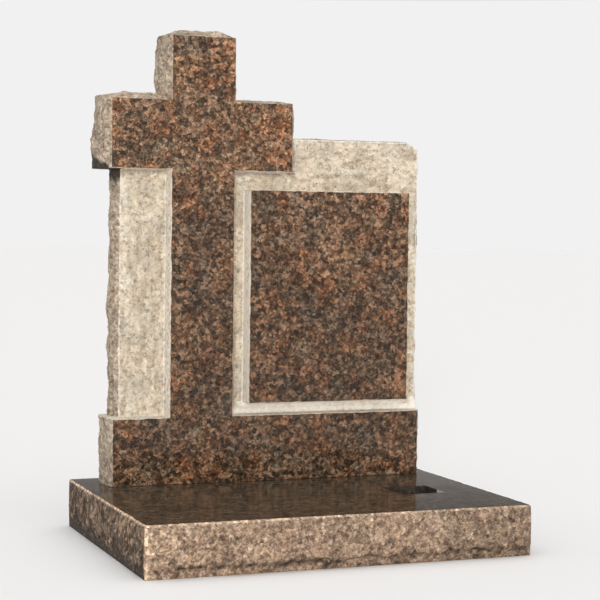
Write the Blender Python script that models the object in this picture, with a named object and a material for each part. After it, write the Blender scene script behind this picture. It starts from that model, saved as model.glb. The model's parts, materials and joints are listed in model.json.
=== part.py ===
"""Cross gravestone: a headstone carved from one slab, standing on a polished base slab.

The headstone carries a raised polished cross whose stem runs down into a full-width
polished foot band. Beside the stem stands a raised polished inscription panel. The
ground between them is cut back. The outer edges of both slabs are rock-pitched: from a
straight arris the stone swells out in broken hollows and comes back to the far arris.
The base has a square blind hole for a vase.

Metres, +Z up, the polished faces look along -Y. The origin is the middle of the
underside of the base. Left and right are as seen from the front.
"""

import bmesh
import bpy
from mathutils import Matrix, Vector, noise

# Base slab
BASE_HEIGHT = 0.102
FRONT_LEDGE = 0.459           # base in front of the polished faces
REAR_LEDGE = 0.031            # base behind the headstone
LEFT_LEDGE = 0.058            # base beside the foot band
RIGHT_LEDGE = 0.037
BASE_ARRIS = 0.003            # slope along the edge of the polished top
BASE_BULGE = 0.013            # swell of the rock-pitched sides
BASE_LEFT_BULGE = 0.007

# Vase hole, in front of the right end of the headstone
VASE_HOLE_SIDE = 0.100
VASE_HOLE_FLOOR = 0.027       # stone left under the hole
VASE_HOLE_FROM_RIGHT = 0.145  # right side of the base to the middle of the hole
VASE_HOLE_FROM_STONE = 0.214  # polished faces to the middle of the hole

# Headstone slab
THICKNESS = 0.110
RECESS = 0.044                # the ground lies this far behind the polished faces
BED_JOINT = 0.0003            # gap between headstone and base

# Foot band
BAND_WIDTH = 0.705
BAND_HEIGHT = 0.143

# Cross
CROSS_FROM_LEFT = 0.195       # left end of the band to the middle of the stem
STEM_WIDTH = 0.141
STEM_RISE = 0.527             # top of the band to the underside of the arms
ARM_REACH = 0.131             # beyond the stem on each side
ARM_HEIGHT = 0.147
HEAD_RISE = 0.136             # above the arms

# Ground
GROUND_LEFT_INSET = 0.024     # in from the left end of the band
GROUND_RIGHT_OUTSET = 0.011   # out from its right end, as far as the side has swelled there
GROUND_RISE = 0.074           # above the underside of the arms
CLIP_ACROSS = 0.026           # broken top right corner
CLIP_DOWN = 0.015

# Inscription panel, by its clear distances
PANEL_FROM_STEM = 0.037
PANEL_FROM_BAND = 0.026
PANEL_FROM_ARM = 0.040
PANEL_FROM_EDGE = 0.039
PANEL_ARRIS = 0.002

# Full swell of each rock-pitched edge of the headstone
HEAD_TOP_BULGE = 0.014
HEAD_LEFT_BULGE = 0.017
HEAD_RIGHT_BULGE = 0.009
ARM_TOP_LEFT_BULGE = 0.015
ARM_TOP_RIGHT_BULGE = 0.007
ARM_LEFT_END_BULGE = 0.023
ARM_RIGHT_END_BULGE = 0.014
BAND_LEFT_BULGE = 0.009
BAND_RIGHT_BULGE = 0.009
GROUND_LEFT_BULGE = 0.014
GROUND_RIGHT_BULGE = 0.006
GROUND_TOP_BULGE = 0.003
SAWN = 0.0                    # an edge that is sawn flat

# Rock pitching
FACET_WIDTH = 0.018           # one broken facet along an edge
HOLLOW_WIDTH = 0.050          # distance over which the swell comes and goes
HOLLOW_SHARE = 0.7            # share of the swell that comes and goes
WANDER_SHARE = 0.06           # share of the thickness by which the rows wander up and down
STONE_CORNER_SHARE = 0.62     # share of the swell at a corner of two pitched edges
BASE_CORNER_SHARE = 0.08      # the upright corners of the base are dressed nearly straight
# Rows across the thickness: share of the thickness, share of the swell
STONE_ROWS = ((0.12, 0.60), (0.32, 0.95), (0.56, 1.0), (0.82, 0.70), (1.0, 0.0))
# The sides of the base overhang a thin straight margin along the bottom
BASE_ROWS = ((0.14, 0.55), (0.38, 0.85), (0.62, 1.0), (0.78, 0.90), (0.85, 0.15), (1.0, 0.0))

# Places worked out from the sizes
BASE_RIGHT = (LEFT_LEDGE + BAND_WIDTH + RIGHT_LEDGE) / 2
BASE_LEFT = -BASE_RIGHT
BASE_BACK = (FRONT_LEDGE + THICKNESS + REAR_LEDGE) / 2
BASE_FRONT = -BASE_BACK
FACE_Y = BASE_FRONT + FRONT_LEDGE
GROUND_Y = FACE_Y + RECESS
FOOT = BASE_HEIGHT + BED_JOINT
BAND_LEFT = BASE_LEFT + LEFT_LEDGE
BAND_RIGHT = BAND_LEFT + BAND_WIDTH
BAND_TOP = FOOT + BAND_HEIGHT
STEM_LEFT = BAND_LEFT + CROSS_FROM_LEFT - STEM_WIDTH / 2
STEM_RIGHT = STEM_LEFT + STEM_WIDTH
ARM_LEFT = STEM_LEFT - ARM_REACH
ARM_RIGHT = STEM_RIGHT + ARM_REACH
ARM_UNDER = BAND_TOP + STEM_RISE
ARM_TOP = ARM_UNDER + ARM_HEIGHT
HEAD_TOP = ARM_TOP + HEAD_RISE
GROUND_LEFT = BAND_LEFT + GROUND_LEFT_INSET
GROUND_RIGHT = BAND_RIGHT + GROUND_RIGHT_OUTSET
GROUND_TOP = ARM_UNDER + GROUND_RISE
EMBED = 0.010                 # a form runs on this far inside the form that it joins


def clear_scene():
    for item in list(bpy.data.objects):
        bpy.data.objects.remove(item, do_unlink=True)


def new_collection(name):
    collection = bpy.data.collections.new(name)
    bpy.context.scene.collection.children.link(collection)
    return collection


def stone_material(name, colour, roughness):
    material = bpy.data.materials.new(name)
    material.use_nodes = True
    shader = material.node_tree.nodes["Principled BSDF"]
    shader.inputs["Base Color"].default_value = (*colour, 1.0)
    shader.inputs["Roughness"].default_value = roughness
    shader.inputs["Metallic"].default_value = 0.0
    return material


def add_object(name, bm, collection, material):
    bmesh.ops.recalc_face_normals(bm, faces=bm.faces)
    mesh = bpy.data.meshes.new(name)
    bm.to_mesh(mesh)
    bm.free()
    mesh.materials.append(material)
    item = bpy.data.objects.new(name, mesh)
    collection.objects.link(item)
    return item


def combine(item, operand, operation):
    operand.hide_render = True
    operand.display_type = "WIRE"
    boolean = item.modifiers.new(operand.name, "BOOLEAN")
    boolean.operation = operation
    boolean.solver = "EXACT"
    boolean.object = operand


def outward(edge):
    """Unit vector out of an outline that runs anticlockwise."""
    return Vector((edge.y, -edge.x)).normalized()


def rim_points(outline, corner_share):
    """Outline points as (place, mitre, full swell), with the pitched edges split up."""
    corners = [Vector(point[:2]) for point in outline]
    bulges = [point[2] for point in outline]
    points = []
    for i, here in enumerate(corners):
        edge = corners[(i + 1) % len(corners)] - here
        before = outward(here - corners[i - 1])
        after = outward(edge)
        mitre = (before + after) / (1 + before.dot(after))
        push = before * bulges[i - 1] + after * bulges[i]
        outer_corner = before.cross(after) > 0
        if outer_corner and min(bulges[i - 1], bulges[i]) > SAWN:
            push *= corner_share
        points.append((here, mitre, push))
        if bulges[i] > SAWN:
            facets = max(2, round(edge.length / FACET_WIDTH))
            for k in range(1, facets):
                points.append((here + edge * (k / facets), after, after * bulges[i]))
    return points


def broken(place):
    """Share of the full swell at a place, more and less by turns."""
    return 1 + HOLLOW_SHARE * noise.noise(place / HOLLOW_WIDTH)


def wander(place):
    """Share of the thickness by which a row lies deeper or less deep at a place."""
    return WANDER_SHARE * noise.noise(place.zxy / HOLLOW_WIDTH)


def pitched_slab(outline, rows, thickness, position, corner_share, arris=0.0):
    """A slab with rock-pitched edges.

    The outline runs anticlockwise as seen from its first face. Each of its points is
    (across, up, swell of the edge that starts there). position turns (across, up,
    depth) into a place, and arris slopes the edge of the first face.
    """
    points = rim_points(outline, corner_share)
    rings = [(share * thickness, swell) for share, swell in rows]
    if arris:
        rings.insert(0, (arris, 0.0))
    bm = bmesh.new()
    rank = bm.verts.layers.int.new("rank")
    for i, (place, mitre, _) in enumerate(points):
        start = place - mitre * arris
        bm.verts.new(position(start.x, start.y, 0.0))[rank] = i
    face = bm.faces.new(bm.verts)
    for depth, swell in rings:
        made = bmesh.ops.extrude_face_region(bm, geom=[face, *face.edges, *face.verts])["geom"]
        face = next(part for part in made if isinstance(part, bmesh.types.BMFace))
        for vert in face.verts:
            place, _, push = points[vert[rank]]
            nominal = position(place.x, place.y, depth)
            spot = place + push * (swell * broken(nominal))
            shift = wander(nominal) * thickness if swell and push.length > SAWN else 0.0
            vert.co = position(spot.x, spot.y, depth + shift)
    return bm


def box(low, high):
    bm = bmesh.new()
    size = Vector(high) - Vector(low)
    middle = (Vector(high) + Vector(low)) / 2
    bmesh.ops.create_cube(bm, size=1.0, matrix=Matrix.Translation(middle) @ Matrix.Diagonal((*size, 1.0)))
    return bm


def base_slab():
    outline = (
        (BASE_LEFT, BASE_FRONT, BASE_BULGE),
        (BASE_RIGHT, BASE_FRONT, BASE_BULGE),
        (BASE_RIGHT, BASE_BACK, BASE_BULGE),
        (BASE_LEFT, BASE_BACK, BASE_LEFT_BULGE),
    )
    return pitched_slab(
        outline, BASE_ROWS, BASE_HEIGHT,
        lambda across, up, depth: Vector((across, up, BASE_HEIGHT - depth)),
        BASE_CORNER_SHARE, BASE_ARRIS,
    )


def vase_hole():
    middle_x = BASE_RIGHT - VASE_HOLE_FROM_RIGHT
    middle_y = FACE_Y - VASE_HOLE_FROM_STONE
    half = VASE_HOLE_SIDE / 2
    return box(
        (middle_x - half, middle_y - half, VASE_HOLE_FLOOR),
        (middle_x + half, middle_y + half, BASE_HEIGHT + EMBED),
    )


def cross_and_band():
    outline = (
        (BAND_LEFT, FOOT, SAWN),
        (BAND_RIGHT, FOOT, BAND_RIGHT_BULGE),
        (BAND_RIGHT, BAND_TOP, SAWN),
        (STEM_RIGHT, BAND_TOP, SAWN),
        (STEM_RIGHT, ARM_UNDER, SAWN),
        (ARM_RIGHT, ARM_UNDER, ARM_RIGHT_END_BULGE),
        (ARM_RIGHT, ARM_TOP, ARM_TOP_RIGHT_BULGE),
        (STEM_RIGHT, ARM_TOP, HEAD_RIGHT_BULGE),
        (STEM_RIGHT, HEAD_TOP, HEAD_TOP_BULGE),
        (STEM_LEFT, HEAD_TOP, HEAD_LEFT_BULGE),
        (STEM_LEFT, ARM_TOP, ARM_TOP_LEFT_BULGE),
        (ARM_LEFT, ARM_TOP, ARM_LEFT_END_BULGE),
        (ARM_LEFT, ARM_UNDER, SAWN),
        (STEM_LEFT, ARM_UNDER, SAWN),
        (STEM_LEFT, BAND_TOP, SAWN),
        (BAND_LEFT, BAND_TOP, BAND_LEFT_BULGE),
    )
    return pitched_slab(
        outline, STONE_ROWS, THICKNESS,
        lambda across, up, depth: Vector((across, FACE_Y + depth, up)),
        STONE_CORNER_SHARE,
    )


def ground():
    outline = (
        (GROUND_LEFT, BAND_TOP - EMBED, SAWN),
        (GROUND_RIGHT, BAND_TOP - EMBED, GROUND_RIGHT_BULGE),
        (GROUND_RIGHT, GROUND_TOP - CLIP_DOWN, GROUND_TOP_BULGE),
        (GROUND_RIGHT - CLIP_ACROSS, GROUND_TOP, GROUND_TOP_BULGE),
        (GROUND_LEFT, GROUND_TOP, GROUND_LEFT_BULGE),
    )
    return pitched_slab(
        outline, STONE_ROWS, THICKNESS - RECESS,
        lambda across, up, depth: Vector((across, GROUND_Y + depth, up)),
        STONE_CORNER_SHARE,
    )


def inscription_panel():
    bm = box(
        (STEM_RIGHT + PANEL_FROM_STEM, FACE_Y, BAND_TOP + PANEL_FROM_BAND),
        (GROUND_RIGHT - PANEL_FROM_EDGE, GROUND_Y + EMBED, ARM_UNDER - PANEL_FROM_ARM),
    )
    front = min(bm.faces, key=lambda face: face.calc_center_median().y)
    bmesh.ops.bevel(
        bm, geom=list(front.edges), offset=PANEL_ARRIS, segments=1, profile=0.5,
        affect="EDGES", material=-1,
    )
    return bm


def build():
    clear_scene()
    parts = new_collection("cross gravestone")
    operands = new_collection("operands")
    polished = stone_material("polished brown granite", (0.13, 0.075, 0.05), 0.12)
    rough = stone_material("rock-pitched brown granite", (0.36, 0.25, 0.17), 0.75)

    base = add_object("base", base_slab(), parts, rough)
    combine(base, add_object("vase hole", vase_hole(), operands, rough), "DIFFERENCE")

    headstone = add_object("headstone", cross_and_band(), parts, polished)
    combine(headstone, add_object("ground", ground(), operands, polished), "UNION")
    combine(headstone, add_object("panel", inscription_panel(), operands, polished), "UNION")


build()
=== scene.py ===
"""Cross gravestone: the finished stones, the floor, the light and the camera.

Both stones are brown granite. The cross, the foot band, the panel and the top of the
base are polished. The ground beside the cross is fine-punched, the outer edges are
rock-pitched and the hidden faces are sawn.
Metres, in the frame of the CAD model: +Z up, the polished faces look along -Y.
"""

import json
import math

import bmesh
import bpy
from mathutils import Matrix, Vector, noise


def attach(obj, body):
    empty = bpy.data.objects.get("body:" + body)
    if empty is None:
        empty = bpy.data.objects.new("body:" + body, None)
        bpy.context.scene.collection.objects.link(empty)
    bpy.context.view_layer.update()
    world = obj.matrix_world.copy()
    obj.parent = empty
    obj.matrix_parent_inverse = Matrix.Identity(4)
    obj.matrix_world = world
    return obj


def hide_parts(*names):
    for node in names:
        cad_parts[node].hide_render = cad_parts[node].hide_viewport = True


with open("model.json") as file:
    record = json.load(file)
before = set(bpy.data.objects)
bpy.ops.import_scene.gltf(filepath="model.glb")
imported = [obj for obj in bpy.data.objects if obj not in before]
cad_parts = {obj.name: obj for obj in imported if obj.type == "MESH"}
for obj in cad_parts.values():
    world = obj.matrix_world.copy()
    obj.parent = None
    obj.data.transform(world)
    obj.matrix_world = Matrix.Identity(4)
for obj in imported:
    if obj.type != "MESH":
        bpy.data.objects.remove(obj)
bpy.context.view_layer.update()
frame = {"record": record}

MM = 0.001

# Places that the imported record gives
MOUNTS = {mount["name"]: Vector(mount["pos_m"]) for mount in frame["record"]["mounts"]}
FACE_Y = MOUNTS["inscription_panel"].y      # the polished faces of the headstone
HOLE_FLOOR = MOUNTS["vase_hole_floor"]

# Base slab
BASE_TOP = 102 * MM
BASE_HALF = Vector((400 * MM, 300 * MM))
BASE_ARRIS = 3 * MM
BASE_BULGE, BASE_LEFT_BULGE = 13 * MM, 7 * MM
HOLE_HALF = 50 * MM
# Painted light on the front top of the vase hole's right wall, where light falls into the hole
LIT_PATCH_LENGTH, LIT_PATCH_DEPTH = 40 * MM, 12 * MM    # the pale front part of the hole's right rim

# Headstone: across is X and up is Z
THICKNESS = 110 * MM
RECESS = 44 * MM
ARRIS = 2 * MM
FOOT = BASE_TOP + 0.3 * MM
BAND_LEFT, BAND_RIGHT, BAND_TOP = -342 * MM, 363 * MM, FOOT + 143 * MM
STEM_LEFT, STEM_RIGHT = -217.5 * MM, -76.5 * MM
ARM_REACH = 131 * MM
ARM_LEFT, ARM_RIGHT = STEM_LEFT - ARM_REACH, STEM_RIGHT + ARM_REACH
ARM_UNDER = BAND_TOP + 527 * MM
ARM_TOP = ARM_UNDER + 147 * MM
HEAD_TOP = ARM_TOP + 136 * MM
GROUND_LEFT, GROUND_RIGHT = BAND_LEFT + 24 * MM, BAND_RIGHT + 11 * MM
GROUND_TOP = ARM_UNDER + 74 * MM
PANEL_LEFT, PANEL_RIGHT = STEM_RIGHT + 37 * MM, GROUND_RIGHT - 39 * MM
PANEL_FOOT, PANEL_TOP = BAND_TOP + 26 * MM, ARM_UNDER - 40 * MM
CLIP_ACROSS, CLIP_DOWN, CLIP_FADE = 26 * MM, 15 * MM, 40 * MM

# Rock pitching: the broad swell is the one that the solids have
SAWN = 0.0
NEAR, FAR = 28 * MM, 60 * MM                # how far a swell carries onto the next faces
CORNER = 42 * MM                            # how far the swell falls off before a corner
HOLLOW_WIDTH = 50 * MM
HOLLOW_SHARE = 0.45                         # share of the swell that comes and goes
WANDER_SHARE = 0.06                         # share of the thickness by which the rows wander
FINE_WANDERS = 55                           # turns of the fine wander to a metre
# Rows across the thickness: share of the thickness from the dressed face, share of the full swell
STONE_ROWS = ((0.0, 0.0), (0.12, 0.60), (0.32, 0.95), (0.56, 1.0), (0.82, 0.70), (1.0, 0.0))
BASE_ROWS = (
    (0.0, 0.0), (0.14, 0.55), (0.38, 0.85), (0.62, 1.0), (0.78, 0.90), (0.85, 0.15), (1.0, 0.0),
)

# Broken flakes: width and depth
BROAD_CHIPS = ((30 * MM, 3.0 * MM),)
FINE_CHIPS = ((12 * MM, 2.4 * MM), (6 * MM, 1.7 * MM))
FLAKE_TILT, FLAKE_STEP = 1.6, 0.5
CELL_SPREAD = 7.3                           # keeps the tilts of neighbouring flakes apart
FLAKES_FROM = 6 * MM                        # swell at which the flakes have their full depth

# Bruising and painted shading, a value on the mesh: below PLAIN the stone is darker, with painted shade
# in the hollows, the undercut, the foot of the base and under the left arm, and the darker left side of
# the base; near 1 it is crushed white, and on the walls and ledges of the ground it is painted light
PLAIN = 0.5
FINE_SHADING_DEPTH, BROAD_SHADING_DEPTH = 7 * MM, 13 * MM     # flake depth for a full step of painted shading: hollows darker, high flakes paler and bruised
MARGIN_WIDTH = 13 * MM                      # pale margin along the walls of the ground: a chisel margin, with painted light against the shade near the walls
# Painted light: the strip below the panel, the walls of the ground and its ledges are painted pale
MARGIN_PALE_AND_LIGHT, FOOT_PAINTED_LIGHT = 0.06, 0.40
WALL_PAINTED_LIGHT, LEFT_WALL_AND_LEDGE_LIGHT = 0.95, 0.76
CORNER_BRUISE, TOP_EDGE_BRUISE = 0.88, 0.86
FRONT_STRIP = 8 * MM                        # the front of the arm's end gets no painted shade
SHADE_ABOVE, SHADE_BELOW = 34 * MM, 26 * MM     # painted shade above and below the left arm's underside, where the arm's shadow falls
SHADE_FULL_FROM = 60 * MM                   # how far behind the face they reach their full height
# Painted shade in the undercut beneath the swell of the base, and towards its foot
UNDERCUT_AT, UNDERCUT_HALF = 0.80, 0.11     # shares of the height of the base, from its top
LOW_FROM, LOW_OVER = 0.70, 0.25             # shares of its height over which painted shade darkens the foot
LEFT_REACH = 4 * MM                         # how far round its corners the dark left side reaches
FRONT_CORNER = 11 * MM                      # width of the pale front corner of the base

# Roughness of the broken faces, wear of the arrises, and unevenness of the punched ground
STONE_ROUGHNESS, BASE_ROUGHNESS = 0.75, 1.0
STONE_WEAR, BASE_WEAR = 1.9 * MM, 3.0 * MM
WAVE, DENT = 1.2 * MM, 0.5 * MM

STONE_GRID, BASE_GRID = 3 * MM, 2.3 * MM    # spacing of the fine mesh
TINY = 1e-6

# Places of the materials on each stone
POLISHED, PUNCHED, PITCHED, WORN, HIDDEN = range(5)


def smoothstep(value):
    value = min(1.0, max(0.0, value))
    return value * value * (3 - 2 * value)


def profile(rows, share):
    """Share of the full swell at a share of the thickness."""
    for (low, swell_low), (high, swell_high) in zip(rows, rows[1:]):
        if low <= share <= high:
            return swell_low + (swell_high - swell_low) * smoothstep((share - low) / (high - low))
    return 0.0


class Edge:
    """One straight edge of an outline that runs anticlockwise, seen from the dressed face."""

    def __init__(self, start, end, bulge, reach, first, depth, rows, end_shares):
        self.start = start
        self.length = (end - start).length
        self.along = (end - start).normalized()
        self.out = Vector((self.along.y, -self.along.x))
        self.bulge = bulge
        self.reach = reach
        self.first = first
        self.depth = depth
        self.rows = rows
        self.end_shares = end_shares

    def distance(self, place):
        """Distance of a place from the edge, and how far along the edge it is."""
        offset = place - self.start
        run = offset.dot(self.along)
        nearest = min(self.length, max(0.0, run))
        return (offset - self.along * nearest).length, run

    def swell(self, place, depth, world):
        """Size of the swell that the edge gives a point of the stone."""
        share = (depth - self.first) / self.depth
        if not 0 < share < 1:
            return 0.0
        distance, run = self.distance(place)
        if distance >= self.reach:
            return 0.0
        broad, fine = noise.noise(world.zxy / HOLLOW_WIDTH), noise.noise(world * FINE_WANDERS)
        wander = WANDER_SHARE * (broad + 0.5 * fine) * smoothstep(min(share, 1 - share) * 8)
        size = self.bulge * profile(self.rows, share - wander)
        size *= 1 + HOLLOW_SHARE * noise.noise(world / HOLLOW_WIDTH)
        for end_share, from_end in zip(self.end_shares, (run, self.length - run)):
            size *= 1 - (1 - end_share) * smoothstep(1 - max(0.0, from_end) / CORNER)
        return size * smoothstep(1 - distance / self.reach)


def outline_edges(outline, first, depth, rows):
    """Edges of an outline. Each is given as (across, up, swell, reach, its shares at both ends)."""
    edges = []
    for i, (x, y, bulge, reach, *end_shares) in enumerate(outline):
        end = Vector(outline[(i + 1) % len(outline)][:2])
        edges.append(Edge(Vector((x, y)), end, bulge, reach, first, depth, rows, end_shares))
    return edges


def plan_cells(across, up, keep):
    """A flat sheet cut along all the lines, with only the cells that are kept."""
    bm = bmesh.new()
    bm.verts.layers.float.new("bruise_and_painted_shading")
    middle = Vector((across[0] + across[-1], up[0] + up[-1], 0)) / 2
    half = Vector((across[-1] - across[0], up[-1] - up[0])) / 2
    place = Matrix.Translation(middle) @ Matrix.Diagonal((half.x, half.y, 1.0, 1.0))
    bmesh.ops.create_grid(bm, x_segments=1, y_segments=1, size=1.0, matrix=place)
    for normal, lines in ((Vector((1, 0, 0)), across), (Vector((0, 1, 0)), up)):
        for line in lines[1:-1]:
            parts = [*bm.verts, *bm.edges, *bm.faces]
            bmesh.ops.bisect_plane(bm, geom=parts, dist=TINY, plane_co=normal * line, plane_no=normal)
    outside = [face for face in bm.faces if not keep(face.calc_center_median())]
    bmesh.ops.delete(bm, geom=outside, context="FACES")
    return bm


def raise_faces(bm, faces, height, keep_first=False):
    """Pull faces up by a height, and give the faces that now lie on top."""
    edges = {edge for face in faces for edge in face.edges}
    verts = {vert for face in faces for vert in face.verts}
    parts = [*faces, *edges, *verts]
    made = bmesh.ops.extrude_face_region(bm, geom=parts, use_keep_orig=keep_first)["geom"]
    moved = [part for part in made if isinstance(part, bmesh.types.BMVert)]
    bmesh.ops.translate(bm, verts=moved, vec=(0, 0, height))
    return [part for part in made if isinstance(part, bmesh.types.BMFace)]


def cut_fine(bm, axis, lines, step):
    """Split the edges that run along an axis from line to line into pieces of about one step."""
    for low, high in zip(lines, lines[1:]):
        cuts = round((high - low) / step) - 1
        spans = []
        for edge in bm.edges:
            start, end = sorted(vert.co[axis] for vert in edge.verts)
            if abs(start - low) < TINY and abs(end - high) < TINY:
                spans.append(edge)
        if cuts > 0:
            bmesh.ops.subdivide_edges(bm, edges=spans, cuts=cuts, use_grid_fill=True)


def inside(place, low_x, high_x, low_y, high_y):
    return low_x < place.x < high_x and low_y < place.y < high_y


def is_flat(face):
    return abs(face.normal.z) > 0.5


def flakes(world, chips):
    """Depth of the broken flakes: each cell of stone is one small plane with its own tilt."""
    total = 0.0
    for width, depth in chips:
        place = world / width
        centre = noise.voronoi(place)[1][0]
        tilt = noise.cell_vector(centre * CELL_SPREAD) - Vector((0.5, 0.5, 0.5))
        total += depth * ((place - centre).dot(tilt) * FLAKE_TILT + tilt.x * FLAKE_STEP)
    return total


def tag_sides(bm, edges):
    """Mark each side face: pitched where it stands on a pitched edge, else punched."""
    pitched = [edge for edge in edges if edge.bulge > SAWN]
    for face in bm.faces:
        if is_flat(face):
            continue
        middle = face.calc_center_median()
        on_pitched = any(
            -middle.z > edge.first - TINY and edge.distance(middle.xy)[0] < TINY for edge in pitched
        )
        face.material_index = PITCHED if on_pitched else PUNCHED


def swell_out(bm, edges, thickness, roughness, to_world, allowed):
    """Move the points as the broken stone swells out of its edges."""
    bruise_and_painted_shading = bm.verts.layers.float["bruise_and_painted_shading"]
    on_pitched = {vert for face in bm.faces if face.material_index == PITCHED for vert in face.verts}
    pitched = [edge for edge in edges if edge.bulge > SAWN]
    for vert in list(bm.verts):
        vert[bruise_and_painted_shading] = PLAIN
        depth = -vert.co.z
        if depth < TINY or depth > thickness - TINY:
            continue
        world = to_world @ vert.co
        place = vert.co.xy.copy()
        right = left = up = down = 0.0
        for edge in pitched:
            if not allowed(vert, edge):
                continue
            size = edge.swell(place, depth, world)
            right = max(right, size * edge.out.x)
            left = max(left, -size * edge.out.x)
            up = max(up, size * edge.out.y)
            down = max(down, -size * edge.out.y)
        push = Vector((right - left, up - down, 0))
        if vert in on_pitched and push.length > TINY:
            fine = roughness * flakes(world, FINE_CHIPS)
            broad = roughness * flakes(world, BROAD_CHIPS)
            # Painted shading of the flakes: the hollows are painted darker and the high flakes paler
            vert[bruise_and_painted_shading] = PLAIN + fine / FINE_SHADING_DEPTH + broad / BROAD_SHADING_DEPTH
            push += push.normalized() * (fine + broad) * smoothstep(push.length / FLAKES_FROM)
        vert.co += push


def wear_arris(bm, edges, most, to_world):
    """Knock the arris of the dressed face back inside its outline, more and less by turns."""
    for vert in list(bm.verts):
        if abs(vert.co.z) > TINY:
            continue
        inward = Vector((0, 0))
        for edge in edges:
            if edge.distance(vert.co.xy)[0] < TINY:
                inward -= edge.out
        world = to_world @ vert.co
        nicks, chips = noise.noise(world / (9 * MM)), noise.noise(world / (28 * MM))
        worn = 0.4 + 0.5 * nicks + 0.8 * max(0.0, chips)
        vert.co.xy += inward * most * max(0.0, worn)


def fill_flat(bm, depth, material):
    """Close the flat openings whose edges lie at a depth."""
    rim = [
        edge for edge in bm.edges
        if len(edge.link_faces) == 1 and all(abs(vert.co.z + depth) < TINY for vert in edge.verts)
    ]
    made = bmesh.ops.triangle_fill(bm, edges=rim, use_beauty=True, normal=(0, 0, 1))["geom"]
    for part in made:
        if isinstance(part, bmesh.types.BMFace):
            part.material_index = material


def stone_object(name, bm, to_world, materials):
    bmesh.ops.transform(bm, matrix=to_world, verts=bm.verts)
    bmesh.ops.recalc_face_normals(bm, faces=bm.faces)
    for face in bm.faces:
        face.smooth = face.material_index in (PUNCHED, PITCHED)
    mesh = bpy.data.meshes.new(name)
    bm.to_mesh(mesh)
    bm.free()
    for material in materials:
        mesh.materials.append(material)
    stone = bpy.data.objects.new(name, mesh)
    bpy.context.scene.collection.objects.link(stone)
    return stone


# Outlines: across, up, swell, reach, and the shares of the swell at the start and end of each edge
CROSS_OUTLINE = (
    (BAND_LEFT, FOOT, SAWN, NEAR, 1, 1),
    (BAND_RIGHT, FOOT, 9 * MM, NEAR, 1, 1),
    (BAND_RIGHT, BAND_TOP, SAWN, NEAR, 1, 1),
    (STEM_RIGHT, BAND_TOP, SAWN, NEAR, 1, 1),
    (STEM_RIGHT, ARM_UNDER, SAWN, NEAR, 1, 1),
    (ARM_RIGHT, ARM_UNDER, 12 * MM, FAR, 1, 0.4),
    (ARM_RIGHT, ARM_TOP, 7 * MM, FAR, 0.4, 1),
    (STEM_RIGHT, ARM_TOP, 7 * MM, FAR, 1, 0.5),
    (STEM_RIGHT, HEAD_TOP, 14 * MM, FAR, 0.2, 0.1),
    (STEM_LEFT, HEAD_TOP, 17 * MM, FAR, 0.75, 1),
    (STEM_LEFT, ARM_TOP, 15 * MM, FAR, 1, 0.45),
    (ARM_LEFT, ARM_TOP, 22 * MM, NEAR, 0.75, 0.95),
    (ARM_LEFT, ARM_UNDER, SAWN, NEAR, 1, 1),
    (STEM_LEFT, ARM_UNDER, SAWN, NEAR, 1, 1),
    (STEM_LEFT, BAND_TOP, SAWN, NEAR, 1, 1),
    (BAND_LEFT, BAND_TOP, 9 * MM, NEAR, 1, 1),
)
GROUND_OUTLINE = (
    (GROUND_LEFT, BAND_TOP, SAWN, NEAR, 1, 1),
    (GROUND_RIGHT, BAND_TOP, 6 * MM, NEAR, 1, 0.5),
    (GROUND_RIGHT, GROUND_TOP, 3 * MM, FAR, 0.5, 1),
    (GROUND_LEFT, GROUND_TOP, 14 * MM, FAR, 1, 1),
)
PANEL_OUTLINE = (
    (PANEL_LEFT, PANEL_FOOT, SAWN, NEAR, 1, 1),
    (PANEL_RIGHT, PANEL_FOOT, SAWN, NEAR, 1, 1),
    (PANEL_RIGHT, PANEL_TOP, SAWN, NEAR, 1, 1),
    (PANEL_LEFT, PANEL_TOP, SAWN, NEAR, 1, 1),
)
BASE_OUTLINE = (
    (-BASE_HALF.x, -BASE_HALF.y, BASE_BULGE, NEAR, 0.08, 0.08),
    (BASE_HALF.x, -BASE_HALF.y, BASE_BULGE, NEAR, 0.08, 0.08),
    (BASE_HALF.x, BASE_HALF.y, BASE_BULGE, NEAR, 0.08, 0.08),
    (-BASE_HALF.x, BASE_HALF.y, BASE_LEFT_BULGE, NEAR, 0.08, 0.08),
)


def is_raised(place):
    return (
        inside(place, BAND_LEFT, BAND_RIGHT, FOOT, BAND_TOP)
        or inside(place, STEM_LEFT, STEM_RIGHT, FOOT, HEAD_TOP)
        or inside(place, ARM_LEFT, ARM_RIGHT, ARM_UNDER, ARM_TOP)
        or inside(place, PANEL_LEFT, PANEL_RIGHT, PANEL_FOOT, PANEL_TOP)
    )


def is_stone(place):
    return is_raised(place) or inside(place, GROUND_LEFT, GROUND_RIGHT, BAND_TOP, GROUND_TOP)


def headstone_block():
    """The headstone with sharp edges, cut fine, and open where its faces are flat."""
    across = (
        ARM_LEFT, BAND_LEFT, GROUND_LEFT, STEM_LEFT, STEM_RIGHT, PANEL_LEFT, ARM_RIGHT,
        PANEL_RIGHT, BAND_RIGHT, GROUND_RIGHT,
    )
    up = (FOOT, BAND_TOP, PANEL_FOOT, PANEL_TOP, ARM_UNDER, GROUND_TOP, ARM_TOP, HEAD_TOP)
    bm = plan_cells(across, up, is_stone)
    bmesh.ops.translate(bm, verts=bm.verts, vec=(0, 0, -THICKNESS))
    top = raise_faces(bm, list(bm.faces), THICKNESS - RECESS, keep_first=True)
    top = [face for face in top if is_raised(face.calc_center_median())]
    top = raise_faces(bm, top, RECESS - ARRIS)
    raise_faces(bm, top, ARRIS)
    bm.normal_update()
    flat = [face for face in bm.faces if is_flat(face)]
    closed = [face for face in flat if abs(face.calc_center_median().z + RECESS) > TINY]
    bmesh.ops.delete(bm, geom=closed, context="FACES")
    cut_fine(bm, 2, (-THICKNESS, -RECESS, -ARRIS, 0.0), STONE_GRID)
    cut_fine(bm, 0, across, STONE_GRID)
    cut_fine(bm, 1, up, STONE_GRID)
    return bm


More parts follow.
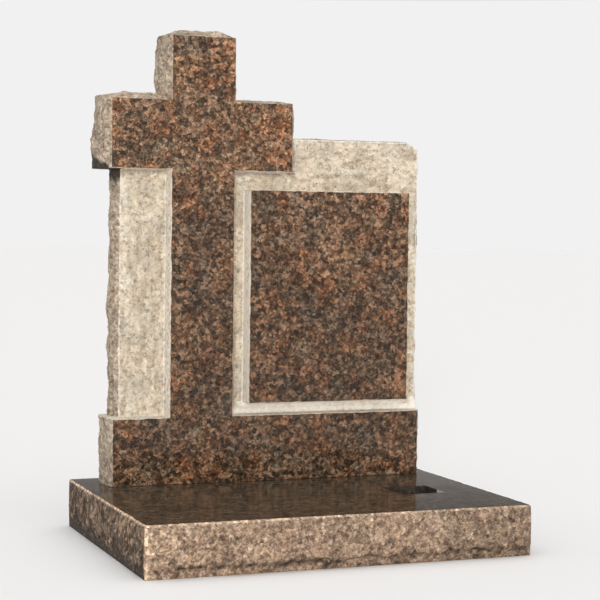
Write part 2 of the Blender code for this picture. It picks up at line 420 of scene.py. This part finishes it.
def clip_corner(bm):
    """Slant the top right corner of the ground, where a piece has broken off."""
    for vert in bm.verts:
        past = (vert.co.x - GROUND_RIGHT + CLIP_ACROSS) / CLIP_ACROSS
        fade = smoothstep((vert.co.y - GROUND_TOP + CLIP_FADE) / CLIP_FADE)
        vert.co.y -= CLIP_DOWN * max(0.0, past) * fade


def paint_light_on_walls_and_margins(bm, edges, on_ground, to_world):
    """Paint light on the walls and ledges of the ground and on the strip below the panel, and pale the
    margin along the walls: a chisel margin, with painted light against the shade near them.
    """
    bruise_and_painted_shading = bm.verts.layers.float["bruise_and_painted_shading"]
    punched = [face for face in bm.faces if face.material_index == PUNCHED]
    on_ledges = {vert for face in punched if face.normal.y > 0.5 for vert in face.verts}
    for vert in {vert for face in punched for vert in face.verts}:
        distance = min(edge.distance(vert.co.xy)[0] for edge in edges)
        ragged = noise.noise((to_world @ vert.co) / (7 * MM))
        if vert in on_ground and distance > TINY:
            below_panel = vert.co.y < PANEL_FOOT and vert.co.x > STEM_RIGHT
            most = FOOT_PAINTED_LIGHT if below_panel else MARGIN_PALE_AND_LIGHT
            vert[bruise_and_painted_shading] += (most + 0.12 * ragged) * smoothstep(1.5 - distance / MARGIN_WIDTH)
        elif vert.co.x < STEM_LEFT + TINY or vert in on_ledges:
            vert[bruise_and_painted_shading] = LEFT_WALL_AND_LEDGE_LIGHT + 0.4 * ragged
        else:
            vert[bruise_and_painted_shading] = WALL_PAINTED_LIGHT + 0.4 * ragged


def darken_undersides(bm, to_world):
    """Paint the arm's shade on the stone just above and below the underside of the left arm, and break
    that face.
    """
    bruise_and_painted_shading = bm.verts.layers.float["bruise_and_painted_shading"]
    for vert in bm.verts:
        if vert.co.z > -FRONT_STRIP or vert.co.x > GROUND_LEFT + TINY:
            continue
        ragged = 6 * MM * noise.noise((to_world @ vert.co) / (12 * MM))
        height = vert.co.y - ARM_UNDER + ragged
        reach = SHADE_ABOVE * min(1.0, -vert.co.z / SHADE_FULL_FROM) if height > 0 else SHADE_BELOW
        vert[bruise_and_painted_shading] -= smoothstep(1.2 - abs(height) / (reach + TINY))
    for face in bm.faces:
        middle = face.calc_center_median()
        if abs(middle.y - ARM_UNDER) < TINY and middle.x < GROUND_LEFT:
            face.material_index = PITCHED


def headstone(materials):
    to_world = Matrix.Translation((0, FACE_Y, 0)) @ Matrix.Rotation(math.radians(90), 4, "X")
    cross = outline_edges(CROSS_OUTLINE, 0.0, THICKNESS, STONE_ROWS)
    ground = outline_edges(GROUND_OUTLINE, RECESS, THICKNESS - RECESS, STONE_ROWS)
    panel = outline_edges(PANEL_OUTLINE, 0.0, RECESS, STONE_ROWS)
    bm = headstone_block()
    bm.normal_update()
    tag_sides(bm, cross + ground)
    for face in bm.faces:
        middle = face.calc_center_median()
        if is_flat(face):
            face.material_index = PUNCHED
        elif abs(middle.y - FOOT) < TINY:
            face.material_index = HIDDEN
        elif middle.z > -ARRIS and face.material_index == PUNCHED:
            face.material_index = WORN
    on_ground = {vert for face in bm.faces if is_flat(face) for vert in face.verts}
    beside_ground = (cross[1], cross[5])        # right ends of the band and of the arm
    swell_out(
        bm, cross + ground, THICKNESS, STONE_ROUGHNESS, to_world,
        lambda vert, edge: vert not in on_ground or edge in beside_ground,
    )
    paint_light_on_walls_and_margins(bm, cross + ground[1:] + panel, on_ground, to_world)
    darken_undersides(bm, to_world)
    for vert in on_ground:
        world = to_world @ vert.co
        waves, dents = noise.noise(world / (45 * MM)), noise.noise(world / (11 * MM))
        vert.co.z += WAVE * waves + DENT * dents
    wear_arris(bm, cross + panel, STONE_WEAR, to_world)
    clip_corner(bm)
    fill_flat(bm, 0.0, POLISHED)
    fill_flat(bm, THICKNESS, HIDDEN)
    return stone_object("headstone_stone", bm, to_world, materials)


def base_block(hole_x, hole_y):
    """The base with sharp edges, cut fine, and open at its top and underside."""
    across = (-BASE_HALF.x, *hole_x, BASE_HALF.x)
    along = (-BASE_HALF.y, *hole_y, BASE_HALF.y)
    floor = HOLE_FLOOR.z - BASE_TOP
    bm = plan_cells(across, along, lambda place: True)
    bmesh.ops.translate(bm, verts=bm.verts, vec=(0, 0, -BASE_TOP))
    top = raise_faces(bm, list(bm.faces), BASE_TOP - BASE_ARRIS, keep_first=True)
    top = raise_faces(bm, top, BASE_ARRIS)
    well = [face for face in top if inside(face.calc_center_median(), *hole_x, *hole_y)]
    well = raise_faces(bm, well, -BASE_ARRIS)
    raise_faces(bm, well, floor + BASE_ARRIS)
    bm.normal_update()
    open_faces = [
        face for face in bm.faces
        if is_flat(face) and abs(face.calc_center_median().z - floor) > TINY
    ]
    bmesh.ops.delete(bm, geom=open_faces, context="FACES")
    cut_fine(bm, 2, (-BASE_TOP, -BASE_ARRIS), BASE_GRID)
    cut_fine(bm, 2, (floor, -BASE_ARRIS), BASE_GRID)
    cut_fine(bm, 0, across, BASE_GRID)
    cut_fine(bm, 1, along, BASE_GRID)
    return bm


def darken_and_bruise_sides(bm, to_world):
    """Paint shade in the undercut and towards the foot of the base, darken its left side and its back,
    and pale its bruised edges and front corner.
    """
    bruise_and_painted_shading = bm.verts.layers.float["bruise_and_painted_shading"]
    for vert in bm.verts:
        share = -vert.co.z / BASE_TOP
        from_left, from_front = vert.co.x + BASE_HALF.x, vert.co.y + BASE_HALF.y
        world = to_world @ vert.co
        ragged = 0.06 * noise.noise(world / (30 * MM)) + 0.04 * noise.noise(world / (9 * MM))
        patchy = 0.7 + 0.9 * noise.noise(world / (40 * MM))
        undercut = patchy * smoothstep(1 - abs(share + ragged - UNDERCUT_AT) / UNDERCUT_HALF)
        left = smoothstep(1 - from_left / LEFT_REACH)
        back = smoothstep(vert.co.y / BASE_HALF.y)
        low = smoothstep((share - LOW_FROM) / LOW_OVER)
        from_corner = max(0.0, from_left) + 2 * max(0.0, from_front)
        corner = smoothstep(1.3 - from_corner / FRONT_CORNER)
        # Each place takes its own amount off the value: painted shade in the undercut and at the foot,
        # and a darker left side and back
        left_darker = 0.29 + 0.05 * share + 0.14 * back + 0.12 * low - 0.20 * undercut
        darker = 0.36 * undercut + 0.10 * low + left_darker * left
        vert[bruise_and_painted_shading] -= darker * (1 - corner)
        vert[bruise_and_painted_shading] += (CORNER_BRUISE - vert[bruise_and_painted_shading]) * corner
        if vert.co.z > -BASE_ARRIS - TINY:
            vert[bruise_and_painted_shading] = TOP_EDGE_BRUISE + 0.35 * noise.noise(world / (10 * MM))


def base(materials):
    hole_x = (HOLE_FLOOR.x - HOLE_HALF, HOLE_FLOOR.x + HOLE_HALF)
    hole_y = (HOLE_FLOOR.y - HOLE_HALF, HOLE_FLOOR.y + HOLE_HALF)
    to_world = Matrix.Translation((0, 0, BASE_TOP))
    edges = outline_edges(BASE_OUTLINE, 0.0, BASE_TOP, BASE_ROWS)

    def in_hole(place):
        return inside(place, hole_x[0] - MM, hole_x[1] + MM, hole_y[0] - MM, hole_y[1] + MM)

    bm = base_block(hole_x, hole_y)
    bm.normal_update()
    tag_sides(bm, edges)
    for face in bm.faces:
        middle = face.calc_center_median()
        if in_hole(middle):
            # Inside the vase hole: painted light on the front top of its right wall, painted shade on
            # the other faces
            on_right = middle.x > hole_x[1] - TINY
            painted_lit = middle.y < hole_y[0] + LIT_PATCH_LENGTH and middle.z > -LIT_PATCH_DEPTH
            face.material_index = WORN if on_right and painted_lit else HIDDEN
        elif middle.z > -BASE_ARRIS:
            face.material_index = PITCHED
    in_well = {vert for face in bm.faces for vert in face.verts if in_hole(vert.co)}
    swell_out(bm, edges, BASE_TOP, BASE_ROUGHNESS, to_world, lambda vert, edge: vert not in in_well)
    darken_and_bruise_sides(bm, to_world)
    wear_arris(bm, edges, BASE_WEAR, to_world)
    fill_flat(bm, 0.0, POLISHED)
    fill_flat(bm, BASE_TOP, HIDDEN)
    return stone_object("base_stone", bm, to_world, materials)


def linear(hex_colour):
    """An sRGB hex colour as linear RGBA."""
    channels = [int(hex_colour[i:i + 2], 16) / 255 for i in (1, 3, 5)]
    return (*(c / 12.92 if c <= 0.04045 else ((c + 0.055) / 1.055) ** 2.4 for c in channels), 1.0)


def add_node(tree, kind, inputs=None, **settings):
    """A node with its settings, and with each input linked to a socket or set to a value."""
    node = tree.nodes.new(kind)
    for name, value in settings.items():
        setattr(node, name, value)
    for name, value in (inputs or {}).items():
        if isinstance(value, bpy.types.NodeSocket):
            tree.links.new(value, node.inputs[name])
        else:
            node.inputs[name].default_value = value
    return node


def grey(level):
    return (level, level, level, 1)


def colour_ramp(tree, factor, stops):
    node = add_node(tree, "ShaderNodeValToRGB", {"Fac": factor})
    elements = node.color_ramp.elements
    while len(elements) < len(stops):
        elements.new(0.5)
    for element, (position, colour) in zip(elements, stops):
        element.position = position
        element.color = colour
    return node.outputs["Color"]


def mix_colours(tree, factor, first, second, blend="MIX"):
    inputs = {0: factor, 6: first, 7: second}
    node = add_node(tree, "ShaderNodeMix", inputs, data_type="RGBA", blend_type=blend)
    return node.outputs[2]


def scaled_noise(tree, where, width, detail=2.0):
    node = add_node(tree, "ShaderNodeTexNoise", {"Vector": where, "Scale": 1 / width, "Detail": detail})
    return node.outputs["Fac"]


def calculate(tree, operation, first, second):
    return add_node(tree, "ShaderNodeMath", {0: first, 1: second}, operation=operation).outputs[0]


def crystal_field(tree, where, size):
    """Random numbers for each spot of the stone, alike within one crystal and within one grain."""
    sway = add_node(
        tree, "ShaderNodeTexNoise",
        {"Vector": where, "Scale": 1 / (SWAY_WIDTH * size), "Detail": 3.0},
    )
    centred = add_node(
        tree, "ShaderNodeVectorMath", {0: sway.outputs["Color"], 1: (0.5, 0.5, 0.5)},
        operation="SUBTRACT",
    )
    shift = add_node(
        tree, "ShaderNodeVectorMath", {0: centred.outputs[0], 3: SWAY * size}, operation="SCALE",
    )
    moved = add_node(tree, "ShaderNodeVectorMath", {0: where, 1: shift.outputs[0]}, operation="ADD")
    numbers = []
    for width in (CRYSTAL, GRAIN):
        cells = add_node(
            tree, "ShaderNodeTexVoronoi", {"Vector": moved.outputs[0], "Scale": 1 / (width * size)},
        )
        numbers.append(add_node(tree, "ShaderNodeSeparateColor", {"Color": cells.outputs["Color"]}))
    return numbers


def mineral_value(tree, crystals, grains, crumbs):
    """How light each spot of the stone is, from 0 to 1."""
    both = calculate(tree, "ADD", crystals.outputs["Red"], grains.outputs["Red"])
    both = calculate(tree, "MULTIPLY", both, 0.40)
    fine = calculate(tree, "MULTIPLY", crumbs, 0.40)
    return calculate(tree, "ADD", both, calculate(tree, "SUBTRACT", fine, 0.10))


def granite_colour(tree, where, tones, clouds, size, tint_share):
    """Mottled granite: dark to light minerals, amber crystals, drifts of hue, and pale clouds.

    Each cloud is given as its width, its darkest and its lightest share. The size is that of the
    grain, against the polished face.
    """
    crystals, grains = crystal_field(tree, where, size)
    value = mineral_value(tree, crystals, grains, scaled_noise(tree, where, CRUMB))
    colour = colour_ramp(tree, value, tones)
    drift = calculate(tree, "MULTIPLY", scaled_noise(tree, where, AMBER_WIDTH, 3.0), 1.8)
    chance = calculate(tree, "ADD", grains.outputs["Green"], drift)
    chance = calculate(tree, "MULTIPLY", chance, 0.5)
    tinted = colour_ramp(tree, chance, ((0.68, grey(0)), (0.86, grey(tint_share))))
    colour = mix_colours(tree, tinted, colour, AMBER, "OVERLAY")
    hue = scaled_noise(tree, where, HUE_WIDTH)
    redness = colour_ramp(tree, hue, ((0.34, GREYER), (0.66, REDDER)))
    colour = mix_colours(tree, tint_share, colour, redness, "MULTIPLY")
    for width, low, high in clouds:
        cloud = scaled_noise(tree, where, width, 3.0)
        patches = colour_ramp(tree, cloud, ((0.32, grey(low)), (0.68, grey(high))))
        colour = mix_colours(tree, 1.0, colour, patches, "MULTIPLY")
    return colour


def new_material(name):
    material = bpy.data.materials.new(name)
    material.use_nodes = True
    tree = material.node_tree
    shader = next(node for node in tree.nodes if node.type == "BSDF_PRINCIPLED")
    where = add_node(tree, "ShaderNodeTexCoord").outputs["Object"]
    return material, tree, shader, where


def bump(tree, shader, height, distance):
    node = add_node(tree, "ShaderNodeBump", {"Height": height, "Distance": distance})
    tree.links.new(node.outputs["Normal"], shader.inputs["Normal"])


def palette(*stops):
    return tuple((position, linear(colour)) for position, colour in stops)


# Grain of the stone
CRYSTAL, GRAIN, CRUMB = 10 * MM, 4.5 * MM, 1.6 * MM
SWAY_WIDTH, SWAY = 5 * MM, 9 * MM           # how the edges of the crystals wander
AMBER_WIDTH, HUE_WIDTH = 55 * MM, 45 * MM   # width of the drifts of amber crystals and of hue

# Colours of the minerals from dark to light
POLISHED_TONES = palette(
    (0.20, "#271c12"), (0.34, "#3b2e22"), (0.50, "#554434"), (0.64, "#725b47"), (0.78, "#967861"),
)
PUNCHED_TONES = palette(
    (0.20, "#9d907c"), (0.32, "#b9ac97"), (0.45, "#c9bca7"), (0.62, "#d3c7b4"), (0.80, "#ddd3c4"),
)
STONE_SIDE_TONES = palette(
    (0.20, "#7d6e5d"), (0.36, "#9d8c79"), (0.50, "#b09e89"), (0.64, "#bfae9a"), (0.80, "#cdbeab"),
)
BASE_SIDE_TONES = palette(
    (0.20, "#6b5847"), (0.36, "#8a7260"), (0.50, "#a0866e"), (0.64, "#b59a80"), (0.80, "#c9b096"),
)
# Painted shade: darker, greyer tones for the polished top of the base
SHADED_TOP_TONES = palette(
    (0.20, "#2e2923"), (0.34, "#3c352c"), (0.50, "#4c4338"), (0.64, "#5b5042"), (0.78, "#6e5f4f"),
)
SAWN_TONES = palette(
    (0.22, "#4a4038"), (0.36, "#62554a"), (0.50, "#7b6b5d"), (0.64, "#948272"), (0.78, "#ab9a89"),
)
AMBER = linear("#a8703c")
# Pale crushed stone, also the colour of the painted light on the walls and ledges of the ground
PALE_BRUISING_AND_LIGHT = linear("#f3ede3")
HOLE_SHADE = (0.20, 0.19, 0.18, 1)                # painted shade: share of its colour left on the sawn faces of the base, dark as the inside of the vase hole
GREYER, REDDER = (0.85, 1.01, 1.10, 1), (1.18, 1.0, 0.82, 1)
# Broken stone by its bruising and painted shading, from painted shade in the hollows to crushed flakes
# with painted light
SHADING_AND_BRUISING_TONES = (
    (0.0, (0.11, 0.10, 0.09, 1)), (0.22, (0.48, 0.46, 0.44, 1)), (PLAIN, grey(0.98)),
    (0.8, grey(1.3)), (1.0, (2.2, 2.4, 2.6, 1)),
)
# Painted light on the polished stone, brighter towards the head: height in metres, and share of its
# colour
PAINTED_LIGHT_BY_HEIGHT = (
    (0.11, 1.06), (0.13, 1.14), (0.23, 1.03), (0.30, 0.95),
    (0.45, 0.95), (0.66, 1.12), (0.80, 1.42), (1.0, 1.44),
)


def polished_granite(name, face_tones, tint_share, specular):
    # Granite ground and polished to a mirror, as on the cross, the band, the panel and the base top
    material, tree, shader, where = new_material(name)
    clouds = ((90 * MM, 0.82, 1.16), (28 * MM, 0.84, 1.16))
    colour = granite_colour(tree, where, face_tones, clouds, size=1.0, tint_share=tint_share)
    # Painted light: the colour is brightened by height, most towards the head
    height = add_node(tree, "ShaderNodeSeparateXYZ", {"Vector": where}).outputs["Z"]
    drift = colour_ramp(tree, height, [(level, grey(share)) for level, share in PAINTED_LIGHT_BY_HEIGHT])
    colour = mix_colours(tree, 1.0, colour, drift, "MULTIPLY")
    tree.links.new(colour, shader.inputs["Base Color"])
    gloss = add_node(
        tree, "ShaderNodeMapRange",
        {"Value": scaled_noise(tree, where, 8 * MM), "To Min": 0.08, "To Max": 0.17},
    )
    tree.links.new(gloss.outputs["Result"], shader.inputs["Roughness"])
    shader.inputs["Specular IOR Level"].default_value = specular
    return material


def tooling(tree, where):
    """Rows of the punch: they run upright, and level on the strip of ground above the panel."""
    height = add_node(tree, "ShaderNodeSeparateXYZ", {"Vector": where}).outputs["Z"]
    upright = add_node(tree, "ShaderNodeVectorMath", {0: where, 1: (1, 1, 0.3)}, operation="MULTIPLY")
    level = add_node(tree, "ShaderNodeVectorMath", {0: where, 1: (0.3, 1, 1)}, operation="MULTIPLY")
    rows = [scaled_noise(tree, way.outputs[0], 13 * MM, 3.0) for way in (upright, level)]
    above = ((PANEL_TOP - 10 * MM, grey(0)), (PANEL_TOP + 20 * MM, grey(1)))
    return mix_colours(tree, colour_ramp(tree, height, above), *rows)


def punched_granite():
    # The same granite dressed with a fine punch, which bruises it pale
    material, tree, shader, where = new_material("fine_punched_brown_granite")
    clouds = ((70 * MM, 0.83, 1.08), (18 * MM, 0.88, 1.09))
    colour = granite_colour(tree, where, PUNCHED_TONES, clouds, size=0.8, tint_share=0.12)
    shades = ((0.34, (0.78, 0.75, 0.71, 1)), (0.5, grey(1)), (0.66, grey(1.08)))
    rows = colour_ramp(tree, tooling(tree, where), shades)
    colour = mix_colours(tree, 1.0, colour, rows, "MULTIPLY")
    # Painted light on the walls, the ledges and the strip below the panel, and the pale margin along
    # the walls
    bruise_and_painted_shading = add_node(tree, "ShaderNodeAttribute", attribute_name="bruise_and_painted_shading").outputs["Fac"]
    pale = colour_ramp(tree, bruise_and_painted_shading, ((0.55, grey(0)), (0.95, grey(0.85))))
    colour = mix_colours(tree, pale, colour, PALE_BRUISING_AND_LIGHT)
    tree.links.new(colour, shader.inputs["Base Color"])
    shader.inputs["Roughness"].default_value = 0.85
    bump(tree, shader, scaled_noise(tree, where, 3 * MM, 3.0), 1.2 * MM)
    return material


def pitched_granite(name, side_tones, left_share, right_share):
    # Broken faces, pitched off with a chisel: painted shade in the hollows and painted light on the
    # high flakes, which are also bruised pale
    material, tree, shader, where = new_material(name)
    clouds = ((60 * MM, 0.79, 1.17), (7 * MM, 0.79, 1.17))
    colour = granite_colour(tree, where, side_tones, clouds, size=0.7, tint_share=0.12)
    across = add_node(tree, "ShaderNodeSeparateXYZ", {"Vector": where}).outputs["X"]
    span = {"From Min": -BASE_HALF.x, "From Max": BASE_HALF.x}
    shares = {"To Min": left_share, "To Max": right_share}
    across = add_node(tree, "ShaderNodeMapRange", {"Value": across, **span, **shares})
    colour = mix_colours(tree, 1.0, colour, across.outputs["Result"], "MULTIPLY")
    bruise_and_painted_shading = add_node(tree, "ShaderNodeAttribute", attribute_name="bruise_and_painted_shading").outputs["Fac"]
    shade = colour_ramp(tree, bruise_and_painted_shading, SHADING_AND_BRUISING_TONES)
    colour = mix_colours(tree, 1.0, colour, shade, "MULTIPLY")
    tree.links.new(colour, shader.inputs["Base Color"])
    shader.inputs["Roughness"].default_value = 0.8
    bump(tree, shader, scaled_noise(tree, where, 4 * MM, 4.0), 2.5 * MM)
    return material


def worn_arris():
    # The chipped arris between a polished face and its side, crushed nearly white
    material, tree, shader, where = new_material("chipped_arris_brown_granite")
    clouds = ((12 * MM, 0.95, 1.12),)
    colour = granite_colour(tree, where, PUNCHED_TONES, clouds, size=0.7, tint_share=0.1)
    tree.links.new(colour, shader.inputs["Base Color"])
    shader.inputs["Roughness"].default_value = 0.7
    return material


def sawn_granite(name, shade):
    # Faces left from the saw: the back of the headstone, its bed, the underside and the vase hole
    material, tree, shader, where = new_material(name)
    clouds = ((90 * MM, 0.9, 1.06),)
    colour = granite_colour(tree, where, SAWN_TONES, clouds, size=1.0, tint_share=0.4)
    colour = mix_colours(tree, 1.0, colour, shade, "MULTIPLY")
    tree.links.new(colour, shader.inputs["Base Color"])
    shader.inputs["Roughness"].default_value = 0.6
    saw = add_node(tree, "ShaderNodeTexWave", {"Vector": where, "Scale": 60.0, "Distortion": 2.0})
    bump(tree, shader, saw.outputs["Fac"], 0.2 * MM)
    return material


FLOOR_HALF = 60.0


def studio_floor():
    bm = bmesh.new()
    bmesh.ops.create_grid(bm, x_segments=1, y_segments=1, size=FLOOR_HALF)
    mesh = bpy.data.meshes.new("floor")
    bm.to_mesh(mesh)
    bm.free()
    floor = bpy.data.objects.new("floor", mesh)
    bpy.context.scene.collection.objects.link(floor)
    # Matt pale paint
    material, _, shader, _ = new_material("pale_studio_floor")
    shader.inputs["Base Color"].default_value = linear("#faf9f8")
    shader.inputs["Roughness"].default_value = 0.9
    shader.inputs["Specular IOR Level"].default_value = 0.1
    mesh.materials.append(material)


# Soft light of the room by height, from the level (0) to straight up (1). The backdrop ends just
# over the floor's edge, so that the polished top of the base reflects the dark room above it.
ROOM_LEVELS = (
    (0.0, 0.88), (0.1378, 0.88), (0.1405, 0.05), (0.25, 0.06), (0.42, 0.34), (1.0, 1.45),
)
KEY_STRENGTH, KEY_ANGLE = 1.95, 14
KEY_FROM = Vector((-0.42, -1.0, 0.17))

# The photograph's camera: angles in degrees, lens and sensor in millimetres
CAMERA_PLACE = (-1.234, -3.226, 0.643)
CAMERA_LEFT, CAMERA_DOWN, CAMERA_ROLL = 21.16, 2.34, 0.68
LENS, SENSOR = 99.9, 36


def studio_light():
    world = bpy.data.worlds.new("studio")
    bpy.context.scene.world = world
    world.use_nodes = True
    tree = world.node_tree
    sky = next(node for node in tree.nodes if node.type == "BACKGROUND")
    where = add_node(tree, "ShaderNodeTexCoord").outputs["Generated"]
    height = add_node(tree, "ShaderNodeSeparateXYZ", {"Vector": where}).outputs["Z"]
    stops = [(position, grey(level)) for position, level in ROOM_LEVELS]
    tree.links.new(colour_ramp(tree, height, stops), sky.inputs["Color"])
    light = bpy.data.lights.new("key", "SUN")
    light.energy = KEY_STRENGTH
    light.angle = math.radians(KEY_ANGLE)
    key = bpy.data.objects.new("key", light)
    key.rotation_euler = KEY_FROM.to_track_quat("Z", "Y").to_euler()
    bpy.context.scene.collection.objects.link(key)


def camera():
    scene = bpy.context.scene
    lens = bpy.data.cameras.new("camera")
    lens.sensor_width = SENSOR
    lens.lens = LENS
    view = bpy.data.objects.new("camera", lens)
    turn = Matrix.Rotation(math.radians(-CAMERA_LEFT), 4, "Z")
    tip = Matrix.Rotation(math.radians(90 - CAMERA_DOWN), 4, "X")
    roll = Matrix.Rotation(math.radians(CAMERA_ROLL), 4, "Z")
    view.matrix_world = Matrix.Translation(CAMERA_PLACE) @ turn @ tip @ roll
    scene.collection.objects.link(view)
    scene.camera = view
    scene.view_settings.view_transform = "Standard"


def main():
    punched, worn = punched_granite(), worn_arris()
    stone_side = pitched_granite(
        "rock_pitched_brown_granite", STONE_SIDE_TONES, left_share=0.95, right_share=0.95,
    )
    # The sides of the base have darker tones than the headstone's, and get darker towards its right
    base_side = pitched_granite(
        "darker_rock_pitched_brown_granite", BASE_SIDE_TONES, left_share=1.06, right_share=0.76,
    )
    face = polished_granite("polished_brown_granite", POLISHED_TONES, tint_share=0.62, specular=0.3)
    # The base top is a darker copy of the polished granite, with painted shade
    top = polished_granite("polished_brown_granite_top", SHADED_TOP_TONES, tint_share=0.3, specular=0.1)
    back = sawn_granite("sawn_brown_granite", grey(1))
    # Painted shade: the sawn faces of the base, and so the inside of the vase hole, are made dark
    underside = sawn_granite("shaded_sawn_brown_granite", HOLE_SHADE)
    stone = headstone([face, punched, stone_side, worn, back])
    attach(stone, "root")
    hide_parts("headstone")
    slab = base([top, punched, base_side, worn, underside])
    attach(slab, "root")
    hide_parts("base")
    studio_floor()
    studio_light()
    camera()


main()
